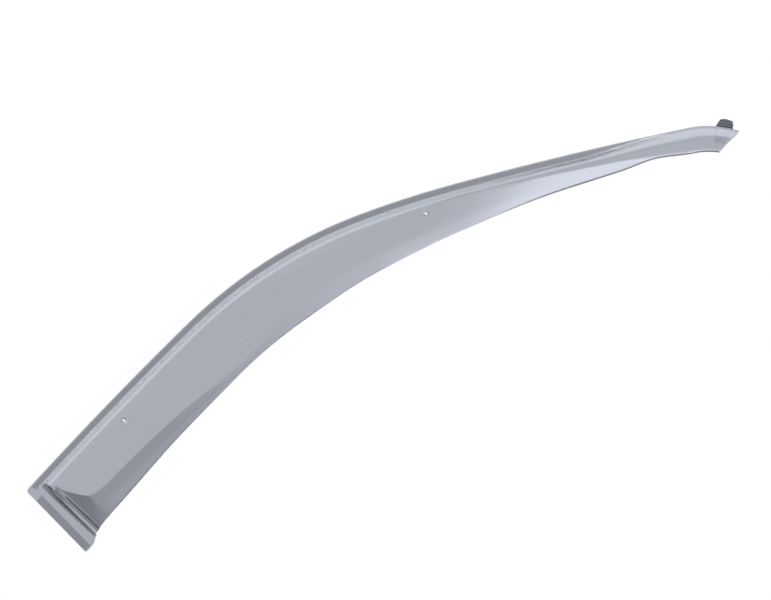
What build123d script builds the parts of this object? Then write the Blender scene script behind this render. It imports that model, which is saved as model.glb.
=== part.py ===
"""Smoke acrylic rain deflector for the front door window of a car, with its tapes and front clip.

The frame is the deflector's own: +X runs along the line through the two clip holes, towards the narrow
front tip, +Z is up, and the outer face looks along -Y. The origin is midway between the two clip holes,
within the sheet's thickness at both.
A station is a distance in mm along the top edge, from the rear end. In a section, "inset" is the distance
from the top edge across the sheet, and "height" is the distance outwards from the window or the flange.
"""
import os
from math import cos, radians, sin, sqrt

from build123d import *

os.makedirs("parts", exist_ok=True)

# Window that the deflector follows: its bow in plan, the bow's middle along X, and how far that middle
# lies behind the plane of the clip holes
WINDOW_RADIUS = 6000.0
WINDOW_MIDDLE = 28.0
WINDOW_BEHIND_HOLES = 6.75

# Top edge, as tangent arcs from the rear end to the tip
REAR_TOP_X = -364.4
REAR_TOP_Z = -1.4
REAR_HEADING = 12.88
ROOF_RUN = 278.5
ROOF_RADIUS = 5800.0
ARCH_RUN = 243.5
ARCH_RADIUS = 588.0
SHOULDER_RUN = 116.5
SHOULDER_RADIUS = 1260.0
PILLAR_RUN = 295.0
PILLAR_RADIUS = 5000.0
TIP_RUN = 62.0
TIP_RADIUS = 115.0

# Sheet, its rounded edges, how far each bend reaches from its corner, and the most it takes of a run
WALL = 2.5
EDGE_NOSE = 1.1
BEND_SHARE = 0.45
FLANGE_BEND = 2.0
RIDGE_BEND = 3.0
TAIL_RIDGE_BEND = 6.0
PANEL_BEND = 14.0
CREASE_BEND = 3.0

# Top flange, and the ridge at the top of the riser
FLANGE_WIDTH = 8.5
TAIL_FLANGE_WIDTH = 2.5
RIDGE_INSET = 16.0
TAIL_RIDGE_INSET = 13.0
RIDGE_HEIGHT = 7.5
TIP_RIDGE_HEIGHT = 6.5

# Places along the runs, as shares of the run, where a size below changes
ROOF_MIDDLE_SHARE = 0.64
PILLAR_MIDDLE_SHARE = 0.36
TAPER_SHARE = 0.52
TAIL_APPROACH_SHARE = 0.69
TAIL_SHARE = 0.85
TAPER_END_SHARE = 0.9

# Lower edge: its inset, from the rear end to the tip, and the stations where it steps in at the rear
FLARE_START = 11.2
FLARE_END = 24.8
REAR_INSET = 104.0
FLARE_INSET = 97.8
PANEL_INSET = 97.0
ROOF_INSET = 92.8
ARCH_INSET = 91.3
ARCH_MIDDLE_INSET = 88.2
SHOULDER_INSET = 75.6
PILLAR_INSET = 58.1
PILLAR_MIDDLE_INSET = 43.0
TAIL_APPROACH_INSET = 34.9
TAIL_INSET = 29.5
TIP_INSET = 32.5

# Lower edge: its height above the flange face
EDGE_HEIGHT = 13.5
SHOULDER_EDGE_HEIGHT = 13.2
PILLAR_EDGE_HEIGHT = 7.2
PILLAR_MIDDLE_EDGE_HEIGHT = 5.0
TAIL_APPROACH_EDGE_HEIGHT = 5.5
TAIL_EDGE_HEIGHT = 7.8

# Crown of the panel between the ridge and the lower edge
CROWN = 4.0
SHOULDER_CROWN = 3.0
PILLAR_CROWN = 0.4
PILLAR_MIDDLE_CROWN = 0.7
TAIL_APPROACH_CROWN = 1.3
TAIL_CROWN = 0.3

# Turned-in lip: its stations, how far its crease stands proud, and the share of the panel above the crease
LIP_REAR = 100.0
LIP_LEVEL_END = 150.0
LIP_MIDDLE = 200.0
LIP_FRONT = 300.0
LIP_END = 334.0
LIP_BLEND = 33.0
LIP_RISE = 2.2
LIP_SHARE_REAR = 0.685
LIP_SHARE_MIDDLE = 0.785
LIP_SHARE_FRONT = 0.92
PLAIN_SHARE = 0.64
TAIL_CREASE_SHARE = 0.9

# Fold of the panel, which leaves the ridge at the pillar and meets the lower edge at the tail: its place as a
# share of the panel above the crease, how far it stands proud, and the reach of its bend
FOLD_SHARE = 0.5
PILLAR_FOLD_SHARE = 0.1
PILLAR_MIDDLE_FOLD_SHARE = 0.26
TAPER_FOLD_SHARE = 0.39
TAIL_APPROACH_FOLD_SHARE = 0.58
TAIL_FOLD_SHARE = 0.9
FOLD_RISE = 0.8
FOLD_BEND = 3.0

# Shallow hollow along the lip: its place as a share of the lip, its depth, and the reach of its bend
HOLLOW_SHARE = 0.4
PLAIN_HOLLOW_SHARE = 0.7
HOLLOW_DEPTH = 0.9
HOLLOW_BEND = 8.0

# Rear end: flat end flange, then the end wall, steep under the ridge and long at the lower edge
END_FLANGE = 16.0
RIDGE_WALL_RUN = 8.0
CREASE_WALL_RUN = 34.5
EDGE_WALL_RUN = 55.0
EDGE_WALL_STEEP_RUN = 16.5
EDGE_WALL_STEEP_RISE = 0.6
WALL_SHARE_TOP = 0.115
WALL_SHARE_CORNER = 0.61
WALL_SHARE_END = 0.665
END_SLANT = 3.0
REAR_TOP_CORNER = 4.0
REAR_LOW_CORNER = 2.0

# Slanted cut of the tip, and the spare sheet that both cuts take off
TIP_CUT_ANGLE = 15.8
TIP_CUT_SETBACK = 1.0
TRIM_ALLOWANCE = 12.0
TRIM_DEPTH = 120.0

# Clip holes, drilled along Y
HOLE_SPACING = 440.0
HOLE_RADIUS = 1.5
SINK_RADIUS = 2.9
SINK_ANGLE = 90.0

# Foam tapes behind the flanges
TAPE_THICKNESS = 1.0
TAPE_MARGIN = 0.5
TAPE_INSET = 2.5
TAPE_START = 8.5
TAPE_STOP_BEFORE_TAIL = 15.0
REAR_TAPE_WIDTH = 9.0
REAR_TAPE_MARGIN = 0.6
REAR_TAPE_TOP = 17.0
REAR_TAPE_LOW_MARGIN = 1.5
BOND_GAP = 0.05

# Front clip, and the pad that bonds it inside the tip
CLIP_FROM_TIP = 20.0
CLIP_WIDTH = 21.2
CLIP_REACH = 11.5
CLIP_SLOPE = 4.6
CLIP_SHOULDER = 5.5
CLIP_CROWN = 1.6
CLIP_THICKNESS = 4.0
CLIP_CLEARANCE = 0.3
FOOT_START = 9.5
FOOT_END = 19.0
FOOT_WIDTH = 18.0
FOOT_SLANT = 5.0
FOOT_HEIGHT = 3.8
PAD_START = 12.5
PAD_MARGIN = 0.7
PAD_HEIGHT = 5.9

# Steps between the sections that the sheet and the upper tape are lofted through
RIDGE_WALL_STEP = 2.0
EDGE_WALL_STEP = 3.0
LIP_STEP = 6.0
ROOF_STEP = 20.0
ARCH_STEP = 40.0
TAIL_STEP = 20.0
TIP_STEP = 16.0
TAPE_STEP = 25.0

# Stations that follow from the runs above
ROOF_MIDDLE = ROOF_MIDDLE_SHARE * ROOF_RUN
ARCH = ROOF_RUN
ARCH_MIDDLE = ARCH + ARCH_RUN / 2
SHOULDER = ARCH + ARCH_RUN
PILLAR = SHOULDER + SHOULDER_RUN
PILLAR_MIDDLE = PILLAR + PILLAR_MIDDLE_SHARE * PILLAR_RUN
TAPER = PILLAR + TAPER_SHARE * PILLAR_RUN
TAIL_APPROACH = PILLAR + TAIL_APPROACH_SHARE * PILLAR_RUN
TAIL = PILLAR + TAIL_SHARE * PILLAR_RUN
TAPER_END = PILLAR + TAPER_END_SHARE * PILLAR_RUN
TIP = PILLAR + PILLAR_RUN
PATH_END = TIP + TIP_RUN
WALL_TOP = END_FLANGE + RIDGE_WALL_RUN
WALL_END = END_FLANGE + EDGE_WALL_RUN
FLANGE_FACE = TAPE_THICKNESS + WALL
ARCS = (
    (ROOF_RUN, ROOF_RADIUS),
    (ARCH_RUN, ARCH_RADIUS),
    (SHOULDER_RUN, SHOULDER_RADIUS),
    (PILLAR_RUN, PILLAR_RADIUS),
    (TIP_RUN + TRIM_ALLOWANCE, TIP_RADIUS),
)


def law(s, *knots):
    """Smooth curve through (station, value) knots that never swings past a knot."""
    if s <= knots[0][0]:
        return knots[0][1]
    if s >= knots[-1][0]:
        return knots[-1][1]
    gaps = [b[0] - a[0] for a, b in zip(knots, knots[1:])]
    rates = [(b[1] - a[1]) / gap for a, b, gap in zip(knots, knots[1:], gaps)]
    slopes = [0.0]
    for before, after in zip(rates, rates[1:]):
        slopes.append(2 * before * after / (before + after) if before * after > 0 else 0.0)
    slopes.append(0.0)
    i = max(k for k, knot in enumerate(knots[:-1]) if knot[0] <= s)
    t = (s - knots[i][0]) / gaps[i]
    start, end = knots[i][1], knots[i + 1][1]
    pull = gaps[i] * (t * (1 - t) ** 2 * slopes[i] - t**2 * (1 - t) * slopes[i + 1])
    return start + (end - start) * t * t * (3 - 2 * t) + pull


def flange_width(s):
    return law(s, (TAPER, FLANGE_WIDTH), (TAPER_END, TAIL_FLANGE_WIDTH))


def ridge_inset(s):
    return law(s, (PILLAR, RIDGE_INSET), (TAIL, TAIL_RIDGE_INSET))


def ridge_height(s):
    return law(s, (TAIL, RIDGE_HEIGHT), (PATH_END, TIP_RIDGE_HEIGHT))


def edge_inset(s):
    return law(
        s,
        (FLARE_START, REAR_INSET),
        (FLARE_END, FLARE_INSET),
        (WALL_END, PANEL_INSET),
        (ROOF_MIDDLE, ROOF_INSET),
        (ARCH, ARCH_INSET),
        (ARCH_MIDDLE, ARCH_MIDDLE_INSET),
        (SHOULDER, SHOULDER_INSET),
        (PILLAR, PILLAR_INSET),
        (PILLAR_MIDDLE, PILLAR_MIDDLE_INSET),
        (TAIL_APPROACH, TAIL_APPROACH_INSET),
        (TAIL, TAIL_INSET),
        (TIP, TIP_INSET),
    )


def edge_height(s):
    return law(
        s,
        (ARCH_MIDDLE, EDGE_HEIGHT),
        (SHOULDER, SHOULDER_EDGE_HEIGHT),
        (PILLAR, PILLAR_EDGE_HEIGHT),
        (PILLAR_MIDDLE, PILLAR_MIDDLE_EDGE_HEIGHT),
        (TAIL_APPROACH, TAIL_APPROACH_EDGE_HEIGHT),
        (TAIL, TAIL_EDGE_HEIGHT),
    )


def crown(s):
    return law(
        s,
        (ARCH_MIDDLE, CROWN),
        (SHOULDER, SHOULDER_CROWN),
        (PILLAR, PILLAR_CROWN),
        (PILLAR_MIDDLE, PILLAR_MIDDLE_CROWN),
        (TAIL_APPROACH, TAIL_APPROACH_CROWN),
        (TAIL, TAIL_CROWN),
    )


def crease_share(s):
    """Share of the panel above the crease: down the end wall's top edge, then along the lip."""
    return law(
        s,
        (END_FLANGE + RIDGE_WALL_RUN / 2, WALL_SHARE_TOP),
        (END_FLANGE + CREASE_WALL_RUN, WALL_SHARE_CORNER),
        (WALL_END, WALL_SHARE_END),
        (LIP_REAR, LIP_SHARE_REAR),
        (LIP_MIDDLE, LIP_SHARE_MIDDLE),
        (LIP_FRONT, LIP_SHARE_FRONT),
        (ARCH_MIDDLE + LIP_BLEND, PLAIN_SHARE),
        (PILLAR, PLAIN_SHARE),
        (TAIL, TAIL_CREASE_SHARE),
    )


def crease_rise(s):
    return law(s, (WALL_TOP, 0.0), (WALL_END, LIP_RISE), (LIP_LEVEL_END, LIP_RISE), (LIP_END, 0.0))


def fold_share(s):
    return law(
        s,
        (SHOULDER, FOLD_SHARE),
        (PILLAR, PILLAR_FOLD_SHARE),
        (PILLAR_MIDDLE, PILLAR_MIDDLE_FOLD_SHARE),
        (TAPER, TAPER_FOLD_SHARE),
        (TAIL_APPROACH, TAIL_APPROACH_FOLD_SHARE),
        (TAIL, TAIL_FOLD_SHARE),
    )


def fold_rise(s):
    return law(s, (PILLAR, 0.0), (TAPER, FOLD_RISE), (TAIL_APPROACH, FOLD_RISE), (TAIL, 0.0))


def hollow_share(s):
    return law(s, (LIP_MIDDLE, HOLLOW_SHARE), (LIP_END, PLAIN_HOLLOW_SHARE))


def hollow_depth(s):
    return law(s, (END_FLANGE, 0.0), (WALL_END, HOLLOW_DEPTH), (LIP_MIDDLE, HOLLOW_DEPTH), (LIP_END, 0.0))


def panel_rise(s):
    """How far the panel has risen from the flat end flange to its full height, from 0 to 1."""
    return law(s, (END_FLANGE, 0.0), (WALL_TOP, 1.0))


def edge_rise(s):
    """The same for the lower edge, which rises along the whole end wall."""
    steep_end = END_FLANGE + EDGE_WALL_STEEP_RUN
    return law(s, (END_FLANGE, 0.0), (steep_end, EDGE_WALL_STEEP_RISE), (WALL_END, 1.0))


def outer_corners(s):
    """Corners of the outer face in one section, as (inset, height off the window)."""
    ridge, lower, crease = ridge_inset(s), edge_inset(s), crease_share(s)

    def panel_corner(share, lift=0.0):
        height = ridge_height(s) * (1 - share) + edge_height(s) * share
        height += 4 * crown(s) * share * (1 - share) + lift
        return Vector(ridge + share * (lower - ridge), FLANGE_FACE + panel_rise(s) * height)

    lip_top = panel_corner(crease, crease_rise(s))
    lip_edge = Vector(lower, FLANGE_FACE + edge_rise(s) * edge_height(s))
    return [
        Vector(0, FLANGE_FACE),
        Vector(flange_width(s), FLANGE_FACE),
        panel_corner(0),
        panel_corner(crease * fold_share(s), crease_rise(s) / 3 + fold_rise(s)),
        lip_top,
        lip_top + (lip_edge - lip_top) * hollow_share(s) - Vector(0, hollow_depth(s)),
        lip_edge,
    ]


def bend_reaches(s):
    """Reach of the five bends, before and after each corner."""
    ridge = law(s, (PILLAR, RIDGE_BEND), (TAIL, TAIL_RIDGE_BEND))
    fold = law(s, (PILLAR, PANEL_BEND), (PILLAR_MIDDLE, FOLD_BEND))
    crease = law(s, (LIP_MIDDLE, CREASE_BEND), (LIP_END, PANEL_BEND))
    return [
        (FLANGE_BEND, FLANGE_BEND),
        (ridge, ridge),
        (fold, fold),
        (crease, PANEL_BEND),
        (HOLLOW_BEND, HOLLOW_BEND),
    ]


def bent_outline(s):
    """Outer and inner run of one section, each as corner triples: bend start, corner, bend end."""
    corners = outer_corners(s)
    ways = [(b - a).normalized() for a, b in zip(corners, corners[1:])]
    lengths = [(b - a).length for a, b in zip(corners, corners[1:])]
    backs = [Vector(way.Y, -way.X) * WALL for way in ways]
    outer, inner = [corners[0]], [corners[0] + backs[0]]
    for i, (before, after) in enumerate(bend_reaches(s)):
        corner = corners[i + 1]
        start = corner - ways[i] * min(before, BEND_SHARE * lengths[i])
        end = corner + ways[i + 1] * min(after, BEND_SHARE * lengths[i + 1])
        mitre = (backs[i] + backs[i + 1]) * (WALL**2 / (WALL**2 + backs[i].dot(backs[i + 1])))
        outer.append((start, corner, end))
        inner.append((start + backs[i], corner + mitre, end + backs[i + 1]))
    outer.append(corners[-1])
    inner.append(corners[-1] + backs[-1])
    return outer, inner, ways


def top_edge(s):
    """Place and heading of the top edge at a station, seen square to the window."""
    x, z, heading = REAR_TOP_X, REAR_TOP_Z, radians(REAR_HEADING)
    for run, radius in ARCS:
        step = min(s, run)
        chord = 2 * radius * sin(step / radius / 2)
        x += chord * cos(heading - step / radius / 2)
        z += chord * sin(heading - step / radius / 2)
        heading -= step / radius
        s -= step
        if s <= 0:
            break
    return x, z, heading


def section_plane(s):
    """Plane of one section: local X is the inset, local Y the height off the window."""
    x, z, heading = top_edge(s)
    from_middle = x - WINDOW_MIDDLE
    depth = sqrt(WINDOW_RADIUS**2 - from_middle**2)
    bow = from_middle / depth
    along = Vector(cos(heading), bow * cos(heading), sin(heading)).normalized()
    outward = Vector(bow, -1, 0).normalized()
    y = WINDOW_BEHIND_HOLES + WINDOW_RADIUS - depth
    return Plane(origin=(x, y, z), x_dir=along.cross(outward), z_dir=-along)


def sheet_plane(s):
    """Plane of the window at a station: local X is the inset, local Y runs along the top edge."""
    section = section_plane(s)
    return Plane(origin=section.origin, x_dir=section.x_dir, z_dir=section.y_dir)


def draw_run(run):
    """Straight runs and bends through one side of a section."""
    at = run[0]
    for start, corner, end in run[1:-1]:
        Line(at, start)
        Bezier(start, corner, end)
        at = end
    Line(at, run[-1])


def section(s):
    """One section of the sheet, with rounded edges."""
    outer, inner, ways = bent_outline(s)
    with BuildSketch(section_plane(s)) as sheet:
        with BuildLine():
            draw_run(outer)
            Bezier(outer[-1], (outer[-1] + inner[-1]) / 2 + ways[-1] * EDGE_NOSE, inner[-1])
            draw_run(inner)
            Bezier(inner[0], (inner[0] + outer[0]) / 2 - ways[0] * EDGE_NOSE, outer[0])
        make_face()
    return sheet.sketch


def spread(*stops):
    """Stations from (station, step) stops: even steps from each stop to the next."""
    stations = []
    for (begin, step), (end, _) in zip(stops, stops[1:]):
        count = max(1, round((end - begin) / step))
        stations += [begin + (end - begin) * i / count for i in range(count)]
    return stations + [stops[-1][0]]


def slanted_end(inset):
    """Station of the rear end at an inset: the end is cut at a small slant."""
    return -inset * sin(radians(END_SLANT))


def rear_outline():
    """Outline that the end flange is trimmed to, seen along Y, from its low corner to its top corner."""
    x, z, heading = top_edge(0)
    along = Vector(cos(heading), sin(heading))
    down = heading - radians(END_SLANT)
    slant = Vector(sin(down), -cos(down))
    top = Vector(x - EDGE_NOSE * sin(heading), z + EDGE_NOSE * cos(heading))
    low = top + slant * (REAR_INSET + EDGE_NOSE - REAR_LOW_CORNER)
    return [low, top, top + along * REAR_INSET, low + (slant + along) * REAR_INSET]


def foot_corners(start, margin):
    """Outline of the clip's foot from an inset on, cut at a slant like the tip."""
    half = FOOT_WIDTH / 2 - margin
    slant = FOOT_SLANT * (FOOT_END - margin - start) / FOOT_END
    end = FOOT_END - margin
    return [(start, -half), (end, -half), (end, half - FOOT_SLANT), (start, half - FOOT_SLANT + slant)]


end_stations = spread(
    (-TRIM_ALLOWANCE, TRIM_ALLOWANCE),
    (FLARE_START, RIDGE_WALL_STEP),
    (END_FLANGE, RIDGE_WALL_STEP),
)
wall_stations = spread(
    (END_FLANGE, RIDGE_WALL_STEP),
    (WALL_TOP, EDGE_WALL_STEP),
    (WALL_END, LIP_STEP),
    (LIP_LEVEL_END, LIP_STEP),
)
front_stations = spread(
    (LIP_LEVEL_END, ROOF_STEP),
    (ARCH, ARCH_STEP),
    (TAIL, TAIL_STEP),
    (TIP, TIP_STEP),
    (PATH_END + TRIM_ALLOWANCE / 2, TIP_STEP),
)

# Flat end flange, trimmed to its slanted end and its two corners
with BuildPart() as end_flange:
    loft([section(station) for station in end_stations])
    with BuildSketch(Plane.XZ):
        with BuildLine():
            Polyline(*rear_outline(), close=True)
        face = make_face()
        rear_top, rear_low = face.vertices().sort_by(Axis.X)[:2].sort_by(Axis.Z, reverse=True)
        fillet(rear_top, REAR_TOP_CORNER)
        fillet(rear_low, REAR_LOW_CORNER)
    extrude(amount=TRIM_DEPTH, both=True, mode=Mode.INTERSECT)

# The sheet: the end flange, the lofts up the end wall and along the arch, the cut of the tip, and the holes
with BuildPart() as visor:
    add(end_flange.part)
    loft([section(station) for station in wall_stations])
    loft([section(station) for station in front_stations])
    tip_x, tip_z, _ = top_edge(PATH_END - TIP_CUT_SETBACK)
    with BuildSketch(Plane.XZ):
        with Locations(Location((tip_x, tip_z), TIP_CUT_ANGLE)):
            Rectangle(2 * REAR_INSET, REAR_INSET, align=(Align.CENTER, Align.MAX))
    extrude(amount=TRIM_DEPTH, both=True, mode=Mode.SUBTRACT)
    for side in (-1, 1):
        drill = Axis((side * HOLE_SPACING / 2, 0, 0), (0, 1, 0))
        hits = [point for face in visor.faces() for point, _ in face.find_intersection_points(drill)]
        surface = min(hits, key=lambda point: point.Y)
        with Locations(Plane(origin=surface, z_dir=(0, -1, 0))):
            CounterSinkHole(HOLE_RADIUS, SINK_RADIUS, counter_sink_angle=SINK_ANGLE)

# Foam strip behind the top flange: it narrows with the flange and stops before the tail
with BuildPart() as upper_tape:
    for station in spread((TAPE_START, TAPE_STEP), (TAIL - TAPE_STOP_BEFORE_TAIL, TAPE_STEP)):
        with BuildSketch(section_plane(station)):
            with Locations((TAPE_MARGIN, 0)):
                Rectangle(
                    flange_width(station) - TAPE_INSET,
                    TAPE_THICKNESS - BOND_GAP,
                    align=(Align.MIN, Align.MIN),
                )
    loft()

# Foam strip behind the end flange, parallel to the slanted end
with BuildPart() as rear_tape:
    with BuildSketch(sheet_plane(0)):
        with BuildLine():
            tape_low = REAR_INSET - REAR_TAPE_LOW_MARGIN
            tape_ends = (REAR_TAPE_TOP, tape_low)
            near_end = [(inset, slanted_end(inset) + REAR_TAPE_MARGIN) for inset in tape_ends]
            far_side = [(inset, along + REAR_TAPE_WIDTH) for inset, along in reversed(near_end)]
            Polyline(*near_end, *far_side, close=True)
        make_face()
    extrude(amount=TAPE_THICKNESS - BOND_GAP)

# Clip: a tongue that stands past the top edge, on a plate with a foot inside the tip
clip_plane = sheet_plane(PATH_END - CLIP_FROM_TIP)
tongue_top = TAPE_THICKNESS - CLIP_CLEARANCE
with BuildPart() as front_clip:
    with BuildSketch(clip_plane.offset(tongue_top)):
        with BuildLine():
            half = CLIP_WIDTH / 2
            Polyline(
                (FOOT_END, -FOOT_WIDTH / 2),
                (0, -half),
                (CLIP_CROWN - CLIP_REACH, CLIP_SLOPE - half),
                (-CLIP_REACH, 0),
                (CLIP_CROWN - CLIP_REACH, half - CLIP_CROWN),
                (CLIP_SHOULDER - CLIP_REACH, half),
                (0, half),
                (FOOT_END, FOOT_WIDTH / 2 - FOOT_SLANT),
                close=True,
            )
        make_face()
    extrude(amount=-CLIP_THICKNESS)
    with BuildSketch(clip_plane.offset(tongue_top)):
        with BuildLine():
            Polyline(*foot_corners(FOOT_START, 0), close=True)
        make_face()
    extrude(amount=FOOT_HEIGHT - tongue_top)

# Pale adhesive pad between the clip's foot and the inside of the tip
with BuildPart() as clip_pad:
    with BuildSketch(clip_plane.offset(FOOT_HEIGHT)):
        with BuildLine():
            Polyline(*foot_corners(PAD_START, PAD_MARGIN), close=True)
        make_face()
    extrude(amount=PAD_HEIGHT - FOOT_HEIGHT)

for name, piece in (
    ("visor", visor),
    ("upper_tape", upper_tape),
    ("rear_tape", rear_tape),
    ("front_clip", front_clip),
    ("clip_pad", clip_pad),
):
    piece.part.label = name
    export_step(piece.part, f"parts/{name}.step")
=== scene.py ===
# %% [markdown]
# # Smoke acrylic rain deflector
# A rain deflector is one long moulded sheet of smoke-tinted acrylic that sticks to the frame of a car's
# side window. Its looks come from three things: a thin sheet that darkens what lies behind it, a polished
# face that mirrors the studio's softboxes, and the black foam tape that shows through its flange.
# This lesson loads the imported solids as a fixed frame, in metres, and dresses them.

# %% Load the frame
from math import cos, log, radians, sin, sqrt, tan

import bpy
from mathutils import Matrix, Vector


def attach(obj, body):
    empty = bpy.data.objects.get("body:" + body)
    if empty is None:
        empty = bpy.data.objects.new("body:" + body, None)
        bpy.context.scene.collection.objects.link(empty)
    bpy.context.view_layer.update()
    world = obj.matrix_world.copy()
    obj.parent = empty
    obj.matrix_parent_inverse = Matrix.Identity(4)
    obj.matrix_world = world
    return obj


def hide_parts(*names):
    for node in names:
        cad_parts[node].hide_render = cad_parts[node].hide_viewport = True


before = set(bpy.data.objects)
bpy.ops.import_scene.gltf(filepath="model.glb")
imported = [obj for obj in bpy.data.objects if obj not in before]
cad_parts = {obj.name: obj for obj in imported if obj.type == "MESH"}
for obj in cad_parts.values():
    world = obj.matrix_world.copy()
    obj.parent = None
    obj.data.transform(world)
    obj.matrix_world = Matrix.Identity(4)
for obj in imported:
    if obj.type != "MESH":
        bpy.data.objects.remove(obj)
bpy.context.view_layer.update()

MM = 0.001
bpy.ops.object.select_all(action="DESELECT")
print("nodes:", sorted(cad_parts))

# %% [markdown]
# ## Camera
# The deflector is photographed from well back, so its lines hardly converge. The camera looks square at
# the sheet from a little below and is rolled, so that the line through the two clip holes climbs across
# the picture. A long lens at a long distance gives the same flat drawing as the photograph.

# %% Place the camera
IMAGE_WIDTH = 771
MM_PER_PIXEL = 1.20024
CAMERA_ROLL = radians(34.284)
CAMERA_BELOW = radians(12.0)
CAMERA_DISTANCE = 30.0
VIEW_CENTRE = Vector((121.2, 0.0, -59.2)) * MM

look = Vector((0, cos(CAMERA_BELOW), sin(CAMERA_BELOW)))
level_right = Vector((1, 0, 0))
level_up = Vector((0, -sin(CAMERA_BELOW), cos(CAMERA_BELOW)))
picture_right = level_right * cos(CAMERA_ROLL) - level_up * sin(CAMERA_ROLL)
picture_up = level_right * sin(CAMERA_ROLL) + level_up * cos(CAMERA_ROLL)

bpy.ops.object.camera_add()
camera = bpy.context.object
camera.name = "photo_camera"
turn = Matrix((picture_right, picture_up, -look)).transposed().to_4x4()
camera.matrix_world = Matrix.Translation(VIEW_CENTRE - look * CAMERA_DISTANCE) @ turn
camera.data.lens = camera.data.sensor_width * CAMERA_DISTANCE / (IMAGE_WIDTH * MM_PER_PIXEL * MM)
camera.data.clip_end = 100.0
bpy.context.scene.camera = camera
print("lens", round(camera.data.lens, 1), "mm")

# %% [markdown]
# ## Tools for materials
# Every finish is a small node tree. One function adds a node, sets its options, and fills or links its
# inputs. Colours are written as the sRGB hex values that a screen shows and are turned to linear light.

# %% Node and colour helpers


def linear(hex_code):
    """Linear RGBA of an sRGB hex colour."""
    shares = [int(hex_code[i : i + 2], 16) / 255 for i in (1, 3, 5)]
    return [c / 12.92 if c <= 0.04045 else ((c + 0.055) / 1.055) ** 2.4 for c in shares] + [1.0]


def add_node(tree, kind, inputs=None, **settings):
    """Adds a node, sets its options, and fills its inputs with a value or a link."""
    made = tree.nodes.new(kind)
    for name, value in settings.items():
        setattr(made, name, value)
    for name, value in (inputs or {}).items():
        if isinstance(value, bpy.types.NodeSocket):
            tree.links.new(value, made.inputs[name])
        else:
            made.inputs[name].default_value = value
    return made


def new_material(name):
    """An empty material: its tree and its output node."""
    made = bpy.data.materials.new(name)
    made.use_nodes = True
    made.node_tree.nodes.clear()
    output = add_node(made.node_tree, "ShaderNodeOutputMaterial")
    return made, made.node_tree, output


# %% [markdown]
# ## The sheet's shape
# The moulded sheet is a height field over the window: at each station along its top edge it has a flat
# flange, a riser, a ridge, a crowned panel, and a crease above a turned-in lip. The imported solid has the
# same form in few triangles, which would break up the reflections on so glossy a face. So the sheet is
# modelled again from the same driving sizes, on a fine grid that flows along the highlights.

# %% Driving sizes of the sheet, in mm
WINDOW_RADIUS = 6000.0
WINDOW_MIDDLE = 28.0
WINDOW_BEHIND_HOLES = 6.75
REAR_TOP_X = -364.4
REAR_TOP_Z = -1.4
REAR_HEADING = 12.88
ROOF = (278.5, 5800.0)
ARCH = (243.5, 588.0)
SHOULDER = (116.5, 1260.0)
PILLAR = (295.0, 5000.0)
TIP = (74.0, 115.0)
TIP_RUN = 62.0
WALL = 2.5
FLANGE_FACE = 3.5
EDGE_REACH = 0.55
END_FLANGE = 16.0
RIDGE_WALL_RUN = 8.0
CREASE_WALL_RUN = 34.5
EDGE_WALL_RUN = 55.0
END_SLANT = 3.0
REAR_TOP_CORNER = 4.0
REAR_LOW_CORNER = 2.0
TIP_CUT_ANGLE = 15.8
TIP_CUT_SETBACK = 1.0
LIP_REAR = 100.0
LIP_LEVEL_END = 150.0
LIP_MIDDLE = 200.0
LIP_FRONT = 300.0
LIP_END = 334.0
LIP_BLEND = 33.0
LIP_RISE = 2.2
HOLLOW_BEND = 8.0
HEM_RADIUS = 2.6
FLANGE_BEND = 0.25
PANEL_BEND = 14.0
CREASE_BEND = 1.4
FOLD_BEND = 1.2

ARCH_AT = ROOF[0]
ARCH_MIDDLE_AT = ARCH_AT + ARCH[0] / 2
SHOULDER_AT = ARCH_AT + ARCH[0]
PILLAR_AT = SHOULDER_AT + SHOULDER[0]
TIP_AT = PILLAR_AT + PILLAR[0]
PATH_END = TIP_AT + TIP_RUN
WALL_TOP = END_FLANGE + RIDGE_WALL_RUN
WALL_END = END_FLANGE + EDGE_WALL_RUN


def on_pillar(share):
    """Station at a share of the pillar run."""
    return PILLAR_AT + share * PILLAR[0]


TAPER_AT = on_pillar(0.52)
TAIL_APPROACH_AT = on_pillar(0.69)
TAIL_AT = on_pillar(0.85)
print("top edge is", round(PATH_END), "mm long")

# %% Laws: how each size changes along the top edge


def law(s, *knots):
    """Smooth curve through (station, value) knots that never swings past a knot."""
    if s <= knots[0][0]:
        return knots[0][1]
    if s >= knots[-1][0]:
        return knots[-1][1]
    gaps = [b[0] - a[0] for a, b in zip(knots, knots[1:])]
    rates = [(b[1] - a[1]) / gap for a, b, gap in zip(knots, knots[1:], gaps)]
    slopes = [0.0]
    for before, after in zip(rates, rates[1:]):
        slopes.append(2 * before * after / (before + after) if before * after > 0 else 0.0)
    slopes.append(0.0)
    i = max(k for k, knot in enumerate(knots[:-1]) if knot[0] <= s)
    t = (s - knots[i][0]) / gaps[i]
    start, end = knots[i][1], knots[i + 1][1]
    pull = gaps[i] * (t * (1 - t) ** 2 * slopes[i] - t**2 * (1 - t) * slopes[i + 1])
    return start + (end - start) * t * t * (3 - 2 * t) + pull


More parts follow.
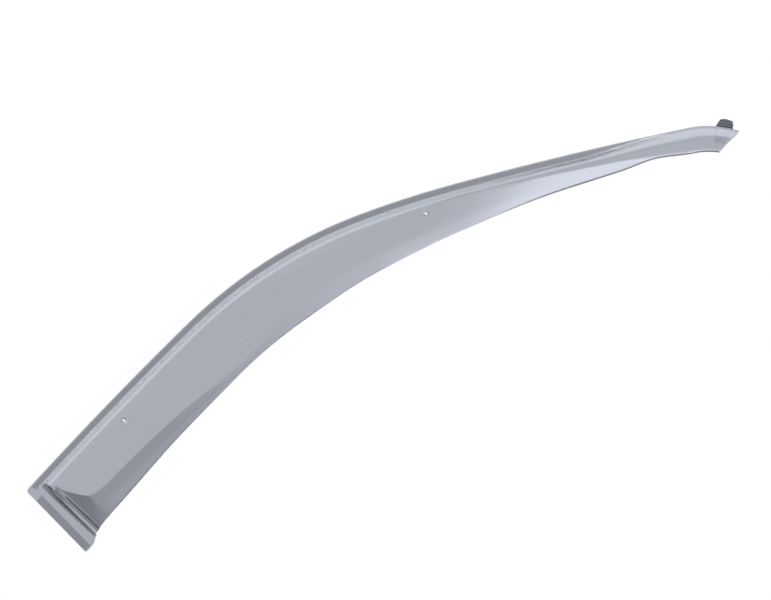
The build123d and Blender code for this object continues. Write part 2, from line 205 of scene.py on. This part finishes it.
FLANGE_WIDTH = [(TAPER_AT, 8.5), (on_pillar(0.9), 2.5)]
RIDGE_INSET = [(PILLAR_AT, 16.0), (TAIL_AT, 13.0)]
RIDGE_HEIGHT = [(TAIL_AT, 7.5), (PATH_END, 6.5)]
RIDGE_BEND = [(PILLAR_AT, 3.0), (TAIL_AT, 6.0)]
EDGE_INSET = [
    (11.2, 104.0),
    (24.8, 97.8),
    (WALL_END, 97.0),
    (0.64 * ROOF[0], 92.8),
    (ARCH_AT, 91.3),
    (ARCH_MIDDLE_AT, 88.2),
    (SHOULDER_AT, 75.6),
    (PILLAR_AT, 58.1),
    (on_pillar(0.36), 43.0),
    (TAIL_APPROACH_AT, 34.9),
    (TAIL_AT, 29.5),
    (TIP_AT, 32.5),
]
EDGE_HEIGHT = [
    (ARCH_MIDDLE_AT, 13.5),
    (SHOULDER_AT, 13.2),
    (PILLAR_AT, 7.2),
    (on_pillar(0.36), 5.0),
    (TAIL_APPROACH_AT, 5.5),
    (TAIL_AT, 7.8),
]
CROWN = [
    (ARCH_MIDDLE_AT, 4.0),
    (SHOULDER_AT, 3.0),
    (PILLAR_AT, 0.4),
    (on_pillar(0.36), 0.7),
    (TAIL_APPROACH_AT, 1.3),
    (TAIL_AT, 0.3),
]
CREASE_SHARE = [
    (END_FLANGE + RIDGE_WALL_RUN / 2, 0.115),
    (END_FLANGE + CREASE_WALL_RUN, 0.61),
    (WALL_END, 0.665),
    (LIP_REAR, 0.685),
    (LIP_MIDDLE, 0.785),
    (LIP_FRONT, 0.92),
    (ARCH_MIDDLE_AT + LIP_BLEND, 0.64),
    (PILLAR_AT, 0.64),
    (TAIL_AT, 0.9),
]
CREASE_RISE = [(WALL_TOP, 0.0), (WALL_END, LIP_RISE), (LIP_LEVEL_END, LIP_RISE), (LIP_END, 0.0)]
CREASE_REACH = [(LIP_MIDDLE, CREASE_BEND), (LIP_END, PANEL_BEND)]
FOLD_SHARE = [
    (SHOULDER_AT, 0.5),
    (PILLAR_AT, 0.1),
    (on_pillar(0.36), 0.26),
    (TAPER_AT, 0.39),
    (TAIL_APPROACH_AT, 0.58),
    (TAIL_AT, 0.9),
]
FOLD_RISE = [(PILLAR_AT, 0.0), (TAPER_AT, 0.8), (TAIL_APPROACH_AT, 0.8), (TAIL_AT, 0.0)]
FOLD_REACH = [(PILLAR_AT, PANEL_BEND), (on_pillar(0.36), FOLD_BEND)]
HOLLOW_SHARE = [(LIP_MIDDLE, 0.4), (LIP_END, 0.7)]
HOLLOW_DEPTH = [(END_FLANGE, 0.0), (WALL_END, 0.9), (LIP_MIDDLE, 0.9), (LIP_END, 0.0)]
PANEL_RISE = [(END_FLANGE, 0.0), (WALL_TOP, 1.0)]
EDGE_RISE = [(END_FLANGE, 0.0), (END_FLANGE + 0.3 * EDGE_WALL_RUN, 0.6), (WALL_END, 1.0)]
HEM_SHARE = [(END_FLANGE, 0.0), (WALL_END, 1.0)]
HEM_TURN = [(PILLAR_AT, 42.0), (TAPER_AT, 66.0)]
GROOVE_DEPTH = [(TAPER_AT, 0.0), (TAIL_APPROACH_AT, 0.4), (TAIL_AT, 0.4), (TIP_AT - 25.0, 0.0)]
GROOVE_SHAPE = [(-1.8, 0.0), (-0.7, 1.0), (0.6, 0.0)]
STEP_SHARE = [(END_FLANGE - 0.5, 0.0), (18.5, 1.0), (24.0, -1.0), (31.0, 0.0)]
STEP_HEIGHT = [(19.0, 0.0), (30.0, 1.6), (50.0, 2.3), (65.0, 2.3), (98.0, 1.5)]

# %% Sections: straight runs joined by soft bends


def section_corners(s):
    """Corners of the outer face at a station, as (inset from the top edge, height off the window)."""
    ridge, lower = law(s, *RIDGE_INSET), law(s, *EDGE_INSET)
    crease, rise = law(s, *CREASE_SHARE), law(s, *CREASE_RISE)

    def on_panel(share, proud=0.0):
        height = law(s, *RIDGE_HEIGHT) * (1 - share) + law(s, *EDGE_HEIGHT) * share
        height += 4 * law(s, *CROWN) * share * (1 - share) + proud
        return Vector((ridge + share * (lower - ridge), FLANGE_FACE + law(s, *PANEL_RISE) * height))

    lip_top = on_panel(crease, rise)
    lip_edge = Vector((lower, FLANGE_FACE + law(s, *EDGE_RISE) * law(s, *EDGE_HEIGHT)))
    return [
        Vector((0, FLANGE_FACE)),
        Vector((law(s, *FLANGE_WIDTH), FLANGE_FACE)),
        on_panel(0),
        on_panel(crease * law(s, *FOLD_SHARE), rise / 3 + law(s, *FOLD_RISE)),
        lip_top,
        lip_top.lerp(lip_edge, law(s, *HOLLOW_SHARE)) - Vector((0, law(s, *HOLLOW_DEPTH))),
        lip_edge,
    ]


def section_bends(s):
    """The five bends at a station, each as start, corner and end, between the two edges of the section."""
    corners = section_corners(s)
    ridge, fold, crease = law(s, *RIDGE_BEND), law(s, *FOLD_REACH), law(s, *CREASE_REACH)
    reaches = [
        (FLANGE_BEND, FLANGE_BEND),
        (ridge, ridge),
        (fold, fold),
        (crease, PANEL_BEND),
        (HOLLOW_BEND, HOLLOW_BEND),
    ]
    bends = []
    for i, (before, after) in enumerate(reaches):
        back, corner, ahead = corners[i : i + 3]
        start = corner.lerp(back, min(before / (back - corner).length, 0.45))
        end = corner.lerp(ahead, min(after / (ahead - corner).length, 0.45))
        bends.append((start, corner, end))
    return corners[0], bends, corners[-1]


def section_height(section, inset):
    """Height of the outer face at an inset: straight between the bends, a parabola through each bend."""
    first, bends, last = section
    before = first
    for start, corner, end in bends:
        if inset <= start.x:
            return before.y + (start.y - before.y) * (inset - before.x) / (start.x - before.x)
        if inset <= end.x:
            a = start.x - 2 * corner.x + end.x
            b = corner.x - start.x
            c = start.x - inset
            t = -c / (b + sqrt(max(b * b - a * c, 0.0)))
            return start.y * (1 - t) ** 2 + 2 * corner.y * t * (1 - t) + end.y * t * t
        before = end
    return before.y + (last.y - before.y) * (inset - before.x) / (last.x - before.x)


def top_edge(s):
    """Place and heading of the top edge at a station, seen square to the window."""
    x, z, heading = REAR_TOP_X, REAR_TOP_Z, radians(REAR_HEADING)
    for run, radius in (ROOF, ARCH, SHOULDER, PILLAR, TIP):
        step = min(s, run)
        chord = 2 * radius * sin(step / radius / 2)
        x += chord * cos(heading - step / radius / 2)
        z += chord * sin(heading - step / radius / 2)
        heading -= step / radius
        s -= step
        if s <= 0:
            break
    return x, z, heading


def hem_start(s):
    """Inset where the lower edge starts to turn in."""
    return law(s, *EDGE_INSET) + EDGE_REACH - HEM_RADIUS * sin(radians(law(s, *HEM_TURN)))


def relief(s, inset):
    """Fine relief on the outer face: the hem of the lower edge, the end wall's foot and the tail's groove."""
    into_hem = max(inset - hem_start(s), 0.0)
    drop = HEM_RADIUS - sqrt(HEM_RADIUS**2 - into_hem**2)
    step = law(s, *STEP_SHARE) * law(inset, *STEP_HEIGHT)
    groove = law(s, *GROOVE_DEPTH) * law(inset - law(s, *FLANGE_WIDTH), *GROOVE_SHAPE)
    return step - groove - drop * law(s, *HEM_SHARE)


def window_frame(s):
    """Place on the window under the top edge at a station, in mm, and the ways along and outward there."""
    x, z, heading = top_edge(s)
    depth = sqrt(WINDOW_RADIUS**2 - (x - WINDOW_MIDDLE) ** 2)
    bow = (x - WINDOW_MIDDLE) / depth
    along = Vector((cos(heading), bow * cos(heading), sin(heading))).normalized()
    outward = Vector((bow, -1, 0)).normalized()
    return Vector((x, WINDOW_BEHIND_HOLES + WINDOW_RADIUS - depth, z)), along, outward


def sheet_point(s, inset):
    """Point of the outer face at a station and an inset, in metres."""
    origin, along, outward = window_frame(s)
    height = section_height(section_bends(s), inset) + relief(s, inset)
    return (origin + along.cross(outward) * inset + outward * height) * MM


print("wide section:", [tuple(round(v, 1) for v in p) for p in section_corners(150)])

# %% [markdown]
# ## Grid rows, columns and trimmed ends
# Rows run along the sheet and keep to its bends. Columns run across it. The rear end is cut at a small
# slant with two rounded corners, and the tip is cut at an angle, so the columns lean near both ends and
# the rows round the two corners. Trimming by leaning the grid leaves no cut faces to spoil the gloss.

# %% Rows and columns
ROW_STEPS = (5, 4, 3, 8, 8, 8, 8, 6, 6, 8, 4, 8)
COLUMN_STOPS = (
    (0.0, 1.3),
    (END_FLANGE - 2.0, 0.6),
    (WALL_TOP + 4.0, 1.5),
    (WALL_END, 5.0),
    (ARCH_AT, 4.0),
    (TIP_AT, 2.0),
    (PATH_END, 1.0),
)


def stops_to_stations(stops):
    """Even steps from each (station, step) stop to the next."""
    stations = []
    for (begin, step), (end, _) in zip(stops, stops[1:]):
        count = max(1, round((end - begin) / step))
        stations += [begin + (end - begin) * i / count for i in range(count)]
    return stations + [stops[-1][0]]


def row_insets(s):
    """Insets of all rows at a station: even steps between the ends of the bends."""
    first, bends, last = section_bends(s)
    marks = [first.x - EDGE_REACH]
    for start, _, end in bends:
        marks += [start.x, end.x]
    marks = sorted(marks + [hem_start(s), last.x + EDGE_REACH])
    insets = []
    for begin, end, count in zip(marks, marks[1:], ROW_STEPS):
        insets += [begin + (end - begin) * i / count for i in range(count)]
    return insets + [marks[-1]]


def round_corner(from_edge, from_end, radius):
    """Moves a point near a square corner so that the corner becomes an arc."""
    if from_edge >= radius or from_end >= radius:
        return from_edge, from_end
    p, q = 1 - from_edge / radius, 1 - from_end / radius
    return radius * (1 - p * sqrt(1 - q * q / 2)), radius * (1 - q * sqrt(1 - p * p / 2))


tip_x, tip_z, _ = top_edge(PATH_END - TIP_CUT_SETBACK)
TIP_CUT = Vector((cos(radians(TIP_CUT_ANGLE)), sin(radians(TIP_CUT_ANGLE))))


def tip_station(inset):
    """Station where the slanted cut of the tip crosses an inset."""
    low, high = TIP_AT, PATH_END + TIP[0] - TIP_RUN
    for _ in range(30):
        middle = (low + high) / 2
        x, z, heading = top_edge(middle)
        offset = Vector((x + inset * sin(heading) - tip_x, z - inset * cos(heading) - tip_z))
        if TIP_CUT.x * offset.y - TIP_CUT.y * offset.x > 0:
            low = middle
        else:
            high = middle
    return low


def grid_place(station, row):
    """Station and inset of a grid point, with both ends trimmed."""
    insets = row_insets(station)
    inset, lower = insets[row], insets[-1]
    if station > TIP_AT:
        share = (station - TIP_AT) / TIP_RUN
        return TIP_AT + share * (tip_station(inset) - TIP_AT), inset
    inset, from_end = round_corner(inset - insets[0], station, REAR_TOP_CORNER)
    inset += insets[0]
    from_low, from_end = round_corner(lower - inset, from_end, REAR_LOW_CORNER)
    inset = lower - from_low
    lean = max(0.0, 1 - station / WALL_END)
    return from_end - inset * tan(radians(END_SLANT)) * lean, inset


stations = stops_to_stations(COLUMN_STOPS)
row_count = sum(ROW_STEPS) + 1
print(len(stations), "columns by", row_count, "rows")

# %% [markdown]
# ## The moulded sheet
# A grid primitive gives the rows and columns. Its points are set on the outer face, and Solidify gives the
# sheet its wall behind that face. The rows of the hem round the lower edge, as the mould does.

# %% Model the sheet


def pick(piece):
    """Makes a piece the only selected object, and the active one."""
    bpy.ops.object.select_all(action="DESELECT")
    piece.select_set(True)
    bpy.context.view_layer.objects.active = piece


def apply_modifier(piece, kind, **settings):
    """Adds a modifier with its settings and applies it."""
    pick(piece)
    modifier = piece.modifiers.new(kind.lower(), kind)
    for name, value in settings.items():
        setattr(modifier, name, value)
    bpy.ops.object.modifier_apply(modifier=modifier.name)


bpy.ops.mesh.primitive_grid_add(x_subdivisions=len(stations) - 1, y_subdivisions=row_count - 1, size=2)
sheet = bpy.context.object
sheet.name = "smoke_sheet"
for vertex in sheet.data.vertices:
    column = round((vertex.co.x + 1) / 2 * (len(stations) - 1))
    row = round((1 - vertex.co.y) / 2 * (row_count - 1))
    vertex.co = sheet_point(*grid_place(stations[column], row))
sheet.data.update()
if sum(face.normal.y for face in sheet.data.polygons) > 0:
    sheet.data.flip_normals()
apply_modifier(sheet, "SOLIDIFY", thickness=WALL * MM, offset=-1, use_even_offset=True)
print("sheet:", len(sheet.data.polygons), "faces")

# %% [markdown]
# ## Clip holes
# Two small countersunk holes take the screws of the window clips. A cutter for each is a cone for the
# sink and a cylinder for the hole, and Boolean takes them out of the sheet.

# %% Cut the clip holes
HOLE_SPACING = 440.0
HOLE_RADIUS = 1.5
SINK_RADIUS = 2.9
SINK_DEPTH = SINK_RADIUS - HOLE_RADIUS
CUT_ALLOWANCE = 2.0
CUTTER_SIDES = 40
SMOOTH_BELOW = radians(35)


def cut(piece, cutter):
    """Takes a cutter out of a piece and removes the cutter."""
    apply_modifier(piece, "BOOLEAN", object=cutter, operation="DIFFERENCE", solver="EXACT")
    bpy.data.objects.remove(cutter)


for side in (-1, 1):
    x = side * HOLE_SPACING / 2 * MM
    _, surface, _, _ = sheet.ray_cast(Vector((x, -0.1, 0)), Vector((0, 1, 0)))
    facing = (radians(-90), 0, 0)
    bpy.ops.mesh.primitive_cylinder_add(
        vertices=CUTTER_SIDES, radius=HOLE_RADIUS * MM, depth=4 * WALL * MM, location=surface, rotation=facing
    )
    cut(sheet, bpy.context.object)
    sink_length = SINK_DEPTH + CUT_ALLOWANCE
    bpy.ops.mesh.primitive_cone_add(
        vertices=CUTTER_SIDES,
        radius1=(SINK_RADIUS + CUT_ALLOWANCE) * MM,
        radius2=HOLE_RADIUS * MM,
        depth=sink_length * MM,
        location=surface + Vector((0, (SINK_DEPTH - sink_length / 2) * MM, 0)),
        rotation=facing,
    )
    cut(sheet, bpy.context.object)
pick(sheet)
bpy.ops.object.shade_smooth_by_angle(angle=SMOOTH_BELOW)
print("sheet with holes:", len(sheet.data.polygons), "faces")

# %% [markdown]
# ## Smoke acrylic, moulded and polished
# Tinted acrylic looks grey because light is lost on its way through the sheet, and nearly black where one
# looks along it, as at a rim. So the tint is an absorption inside a clear, glossy solid, and not a colour
# on its face. The face is very smooth, with a faint waviness from the mould. A clear coat of high index
# strengthens the mirror beyond bare acrylic's, which also keeps the grain of the render low.

# %% Smoke acrylic
SHEET_PASSES = linear("#7B7F88")
WAVE_LENGTH = 45.0


def smoke_acrylic():
    made, tree, output = new_material("smoke_acrylic_moulded")
    place = add_node(tree, "ShaderNodeTexCoord")
    waves = add_node(
        tree,
        "ShaderNodeTexNoise",
        {"Vector": place.outputs["Object"], "Scale": 1 / (WAVE_LENGTH * MM), "Detail": 1.0},
    )
    ripple = add_node(
        tree, "ShaderNodeBump", {"Height": waves.outputs["Fac"], "Strength": 0.05, "Distance": 0.0002}
    )
    haze = add_node(
        tree,
        "ShaderNodeMapRange",
        {"Value": waves.outputs["Fac"], "To Min": 0.01, "To Max": 0.03},
    )
    clear = add_node(
        tree,
        "ShaderNodeBsdfPrincipled",
        {
            "Base Color": linear("#FFFFFF"),
            "Roughness": haze.outputs["Result"],
            "IOR": 1.49,
            "Transmission Weight": 1.0,
            "Coat Weight": 1.0,
            "Coat Roughness": 0.02,
            "Coat IOR": 2.0,
            "Normal": ripple.outputs["Normal"],
        },
    )
    lost = [-log(passed) / (WALL * MM) for passed in SHEET_PASSES[:3]]
    tint = [1 - share / max(lost) for share in lost] + [1.0]
    smoke = add_node(tree, "ShaderNodeVolumeAbsorption", {"Color": tint, "Density": max(lost)})
    tree.links.new(clear.outputs["BSDF"], output.inputs["Surface"])
    tree.links.new(smoke.outputs["Volume"], output.inputs["Volume"])
    return made


def dress(piece, material):
    """Gives a piece one material."""
    piece.data.materials.clear()
    piece.data.materials.append(material)


dress(sheet, smoke_acrylic())
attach(sheet, "root")
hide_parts("visor")

# %% [markdown]
# ## Foam tape, clip and pad
# The tapes are closed-cell foam: dull, black, and slightly grainy. The clip at the tip is moulded plastic
# with a fine grain, and the pad that bonds it is pale, clear acrylic adhesive with trapped air.

# %% Foam, clip plastic and adhesive
FOAM_CELL = 0.6
MOULD_GRAIN = 0.8
AIR_BUBBLE = 1.6


def foam_tape():
    made, tree, output = new_material("black_foam_closed_cell")
    place = add_node(tree, "ShaderNodeTexCoord")
    cells = add_node(
        tree, "ShaderNodeTexVoronoi", {"Vector": place.outputs["Object"], "Scale": 1 / (FOAM_CELL * MM)}
    )
    shade = add_node(
        tree,
        "ShaderNodeMixRGB",
        {"Fac": cells.outputs["Distance"], "Color1": linear("#26282B"), "Color2": linear("#3A3C40")},
    )
    pits = add_node(
        tree, "ShaderNodeBump", {"Height": cells.outputs["Distance"], "Strength": 0.4, "Distance": 0.0002}
    )
    foam = add_node(
        tree,
        "ShaderNodeBsdfPrincipled",
        {
            "Base Color": shade.outputs["Color"],
            "Roughness": 0.9,
            "Specular IOR Level": 0.1,
            "Normal": pits.outputs["Normal"],
        },
    )
    tree.links.new(foam.outputs["BSDF"], output.inputs["Surface"])
    return made


def clip_plastic():
    made, tree, output = new_material("nylon_clip_moulded")
    place = add_node(tree, "ShaderNodeTexCoord")
    grain = add_node(
        tree,
        "ShaderNodeTexNoise",
        {"Vector": place.outputs["Object"], "Scale": 1 / (MOULD_GRAIN * MM), "Detail": 3.0},
    )
    rough = add_node(
        tree, "ShaderNodeBump", {"Height": grain.outputs["Fac"], "Strength": 0.25, "Distance": 0.0001}
    )
    nylon = add_node(
        tree,
        "ShaderNodeBsdfPrincipled",
        {
            "Base Color": linear("#6C6F76"),
            "Roughness": 0.55,
            "Specular IOR Level": 0.2,
            "Normal": rough.outputs["Normal"],
        },
    )
    tree.links.new(nylon.outputs["BSDF"], output.inputs["Surface"])
    return made


def clear_adhesive():
    made, tree, output = new_material("acrylic_adhesive_pad")
    place = add_node(tree, "ShaderNodeTexCoord")
    bubbles = add_node(
        tree, "ShaderNodeTexVoronoi", {"Vector": place.outputs["Object"], "Scale": 1 / (AIR_BUBBLE * MM)}
    )
    shade = add_node(
        tree,
        "ShaderNodeMixRGB",
        {"Fac": bubbles.outputs["Distance"], "Color1": linear("#FFFFFF"), "Color2": linear("#D8DCE0")},
    )
    pad = add_node(
        tree,
        "ShaderNodeBsdfPrincipled",
        {"Base Color": shade.outputs["Color"], "Roughness": 0.3, "Transmission Weight": 0.95},
    )
    tree.links.new(pad.outputs["BSDF"], output.inputs["Surface"])
    return made


foam = foam_tape()
dress(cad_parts["upper_tape"], foam)
dress(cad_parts["rear_tape"], foam)
dress(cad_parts["clip_pad"], clear_adhesive())
print("dressed:", [material.name for material in bpy.data.materials if material.users])

# %% [markdown]
# ## The clip's tongue and foot
# The clip is dark where its tongue stands past the sheet, but nothing dark shows through the sheet below
# it, so its foot is clear plastic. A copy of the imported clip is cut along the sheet's top edge with Bisect
# for each of the two. Grooves leave ribs on the tongue's face, and a small bevel softens its moulded edges.

# %% Cut the clip in two looks
TONGUE_STATION = 977.0
TONGUE_TUCK = 0.6
TONGUE_EDGE = 0.4
SOFTEN_ABOVE = radians(30)
GROOVE_LENGTH = 60.0
# Grooves between the ribs, from the root up: (height, width, depth)
RIB_GROOVES = ((1.2, 2.4, 2.4), (5.2, 1.1, 1.2), (8.4, 1.1, 1.2))

CLIP_ROOT, clip_along, CLIP_FACING = window_frame(TONGUE_STATION)
CLIP_UPWARD = CLIP_FACING.cross(clip_along)


def clear_plastic():
    made, tree, output = new_material("polycarbonate_moulded_clear")
    clear = add_node(
        tree,
        "ShaderNodeBsdfPrincipled",
        {"Base Color": linear("#F6F8FA"), "Roughness": 0.1, "IOR": 1.58, "Transmission Weight": 1.0},
    )
    tree.links.new(clear.outputs["BSDF"], output.inputs["Surface"])
    return made


def part_of_clip(name, above):
    """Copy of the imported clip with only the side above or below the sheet's top edge."""
    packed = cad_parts["front_clip"]
    piece = packed.copy()
    piece.data = packed.data.copy()
    piece.name = name
    bpy.context.collection.objects.link(piece)
    pick(piece)
    edge_place = (CLIP_ROOT - CLIP_UPWARD * TONGUE_TUCK) * MM
    bpy.ops.object.mode_set(mode="EDIT")
    bpy.ops.mesh.select_all(action="SELECT")
    bpy.ops.mesh.remove_doubles(threshold=1e-6)
    bpy.ops.mesh.bisect(
        plane_co=edge_place, plane_no=CLIP_UPWARD, use_fill=True, clear_inner=above, clear_outer=not above
    )
    bpy.ops.object.mode_set(mode="OBJECT")
    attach(piece, "root")
    return piece


def cut_ribs(piece):
    """Cuts the shallow grooves between the ribs of the tongue, and the deeper one at its root."""
    front = max(CLIP_FACING.dot(vertex.co) for vertex in piece.data.vertices)
    turn = Matrix((CLIP_FACING.cross(CLIP_UPWARD), CLIP_FACING, CLIP_UPWARD)).transposed().to_4x4()
    for height, wide, deep in RIB_GROOVES:
        bpy.ops.mesh.primitive_cube_add(size=1)
        groove = bpy.context.object
        middle = (CLIP_ROOT + CLIP_UPWARD * height) * MM
        middle += CLIP_FACING * (front - CLIP_FACING.dot(middle))
        size = Matrix.Diagonal((GROOVE_LENGTH * MM, 2 * deep * MM, wide * MM, 1))
        groove.data.transform(Matrix.Translation(middle) @ turn @ size)
        cut(piece, groove)


tongue = part_of_clip("clip_tongue", above=True)
foot = part_of_clip("clip_foot", above=False)
cut_ribs(tongue)
apply_modifier(
    tongue, "BEVEL", width=TONGUE_EDGE * MM, segments=3, limit_method="ANGLE", angle_limit=SOFTEN_ABOVE
)
dress(tongue, clip_plastic())
dress(foot, clear_plastic())
for piece in (tongue, foot):
    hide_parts("front_clip")
print("clip:", len(tongue.data.polygons), "faces in the tongue,", len(foot.data.polygons), "in the foot")

# %% [markdown]
# ## Studio
# The deflector lies in front of a pale table that is seen square on. Its glossy face mirrors a light tent,
# a curved white cloth round the camera's side with an even glow. Lamps behind the cloth make it brighter in
# a soft area overhead and in one low on the right. It is darker low on the left and at its left end, where
# no lamp stands. A black card beside the rear end deepens the dark line at the foot of the end wall. The
# surroundings are plain white to the camera and to refracted rays, and one soft lamp lights the dull
# surfaces at a plain level.

# %% White surroundings
FILL_LEVEL = 0.55


def seen_directly(tree):
    """1 for camera, glossy and transmission rays, and 0 for the rays that light surfaces."""
    path = add_node(tree, "ShaderNodeLightPath")
    straight = add_node(
        tree,
        "ShaderNodeMath",
        {0: path.outputs["Is Camera Ray"], 1: path.outputs["Is Glossy Ray"]},
        operation="MAXIMUM",
    )
    both = add_node(
        tree,
        "ShaderNodeMath",
        {0: straight.outputs["Value"], 1: path.outputs["Is Transmission Ray"]},
        operation="MAXIMUM",
    )
    return both.outputs["Value"]


world = bpy.data.worlds.new("white_room")
world.use_nodes = True
world.node_tree.nodes.clear()
sky_level = add_node(
    world.node_tree,
    "ShaderNodeMapRange",
    {"Value": seen_directly(world.node_tree), "To Min": FILL_LEVEL, "To Max": 1.0},
)
sky = add_node(
    world.node_tree,
    "ShaderNodeBackground",
    {"Color": linear("#FFFFFF"), "Strength": sky_level.outputs["Result"]},
)
add_node(world.node_tree, "ShaderNodeOutputWorld", {"Surface": sky.outputs["Background"]})
bpy.context.scene.world = world
print("world fill", FILL_LEVEL)

# %% Pale table
TABLE_SIZE = 6.0
TABLE_PLACE = (0.1, 0.8, 0.0)


def pale_table():
    """White to the eye, pale and dull to other light, and open from behind for views from there."""
    made, tree, output = new_material("table_laminate_matte")
    dull = add_node(tree, "ShaderNodeBsdfDiffuse", {"Color": linear("#F2F3F4")})
    white = add_node(tree, "ShaderNodeEmission", {"Color": linear("#FFFFFF"), "Strength": 1.0})
    front = add_node(
        tree,
        "ShaderNodeMixShader",
        {0: seen_directly(tree), 1: dull.outputs["BSDF"], 2: white.outputs["Emission"]},
    )
    side = add_node(tree, "ShaderNodeNewGeometry")
    clear = add_node(tree, "ShaderNodeBsdfTransparent")
    open_back = add_node(
        tree,
        "ShaderNodeMixShader",
        {0: side.outputs["Backfacing"], 1: front.outputs["Shader"], 2: clear.outputs["BSDF"]},
    )
    tree.links.new(open_back.outputs["Shader"], output.inputs["Surface"])
    return made


bpy.ops.mesh.primitive_plane_add(
    size=TABLE_SIZE, location=TABLE_PLACE, rotation=(radians(90), 0, 0)
)
table = bpy.context.object
table.name = "pale_table"
dress(table, pale_table())
print("table", TABLE_SIZE, "m wide")

# %% Light tent
TENT_RADIUS = 1.5
TENT_REACH = (-3.4, 2.6)
TENT_SPAN = (-80, 150)
TENT_GRID = (151, 461)
TENT_COLOUR = linear("#F0F4FF")
# Even glow of the cloth, how much brighter it is overhead and low on the right, and darker low on the left
CLOTH_GLOW = 2.0
OVERHEAD_GAIN = 0.6
LOW_RIGHT_GAIN = 1.2
LOW_LEFT_LOSS = 0.5
LEFT_END_SHARE = 0.3
OVERHEAD_ANGLES = [(35, 0.0), (55, 1.0), (80, 1.0), (100, 0.0)]
LOW_ANGLES = [(-10, 1.0), (15, 0.0)]
RIGHT_SIDE = [(-0.2, 0.0), (0.5, 1.0)]
LEFT_END = [(-1.5, LEFT_END_SHARE), (-0.7, 1.0)]


def tent_glow(x, angle):
    """Brightness of the tent at a place along it and an angle above the level."""
    overhead = OVERHEAD_GAIN * law(angle, *OVERHEAD_ANGLES)
    right = law(x, *RIGHT_SIDE)
    low = law(angle, *LOW_ANGLES) * (LOW_RIGHT_GAIN * right - LOW_LEFT_LOSS * (1 - right))
    return CLOTH_GLOW * law(x, *LEFT_END) * (1 + overhead + low)


bpy.ops.mesh.primitive_grid_add(x_subdivisions=TENT_GRID[0] - 1, y_subdivisions=TENT_GRID[1] - 1, size=2)
tent = bpy.context.object
tent.name = "light_tent"
glow = tent.data.attributes.new("glow", "FLOAT", "POINT")
for i, vertex in enumerate(tent.data.vertices):
    x = TENT_REACH[0] + (TENT_REACH[1] - TENT_REACH[0]) * (vertex.co.x + 1) / 2
    angle = TENT_SPAN[0] + (TENT_SPAN[1] - TENT_SPAN[0]) * (vertex.co.y + 1) / 2
    glow.data[i].value = tent_glow(x, angle)
    vertex.co = (x, -TENT_RADIUS * cos(radians(angle)), TENT_RADIUS * sin(radians(angle)))
tent.data.update()


def glowing_cloth():
    """White cloth with lamps behind it: even, soft and without a visible weave in the mirror."""
    made, tree, output = new_material("tent_cloth_lit")
    level = add_node(tree, "ShaderNodeAttribute", attribute_name="glow")
    cloth = add_node(
        tree, "ShaderNodeEmission", {"Color": TENT_COLOUR, "Strength": level.outputs["Fac"]}
    )
    tree.links.new(cloth.outputs["Emission"], output.inputs["Surface"])
    return made


def only_mirrored(piece, material):
    """Dresses a piece of the studio that shows in glossy faces and nowhere else."""
    dress(piece, material)
    for kind in ("camera", "diffuse", "transmission", "volume_scatter", "shadow"):
        setattr(piece, "visible_" + kind, False)


only_mirrored(tent, glowing_cloth())
print("tent:", len(tent.data.polygons), "faces")

# %% Black flag
FLAG_PLACE = (-0.75, 0.28, -0.05)
FLAG_HEIGHT = 0.7
FLAG_WIDTH = 0.62


def black_card():
    """Flocked card swallows light, so a glossy face mirrors it as black."""
    made, tree, output = new_material("black_card_flocked")
    card = add_node(tree, "ShaderNodeBsdfDiffuse", {"Color": linear("#0A0B0C")})
    tree.links.new(card.outputs["BSDF"], output.inputs["Surface"])
    return made


bpy.ops.mesh.primitive_plane_add(size=1, location=FLAG_PLACE, rotation=(0, radians(90), 0))
flag = bpy.context.object
flag.name = "black_flag"
flag.scale = (FLAG_HEIGHT, FLAG_WIDTH, 1)
only_mirrored(flag, black_card())
print("flag beside the rear end", FLAG_WIDTH, "m wide")

# %% Soft key lamp


def softbox(name, aim, azimuth, elevation, distance, width, height, watts):
    """An area light that faces a point, with its place given as seen from that point."""
    a, e = radians(azimuth), radians(elevation)
    way = Vector((sin(a) * cos(e), -cos(a) * cos(e), sin(e)))
    bpy.ops.object.light_add(type="AREA", location=aim + way * distance)
    box = bpy.context.object
    box.name = name
    box.rotation_mode = "QUATERNION"
    box.rotation_quaternion = way.to_track_quat("Z", "Y")
    box.data.shape = "RECTANGLE"
    box.data.size = width
    box.data.size_y = height
    box.data.energy = watts
    box.visible_camera = False
    box.visible_glossy = False
    box.visible_transmission = False
    return box


softbox(
    "key_lamp",
    aim=Vector((0.1, 0.0, -0.02)),
    azimuth=-10,
    elevation=45,
    distance=2.2,
    width=1.8,
    height=1.2,
    watts=25.0,
)

# %% Colour management
bpy.context.scene.view_settings.view_transform = "Standard"
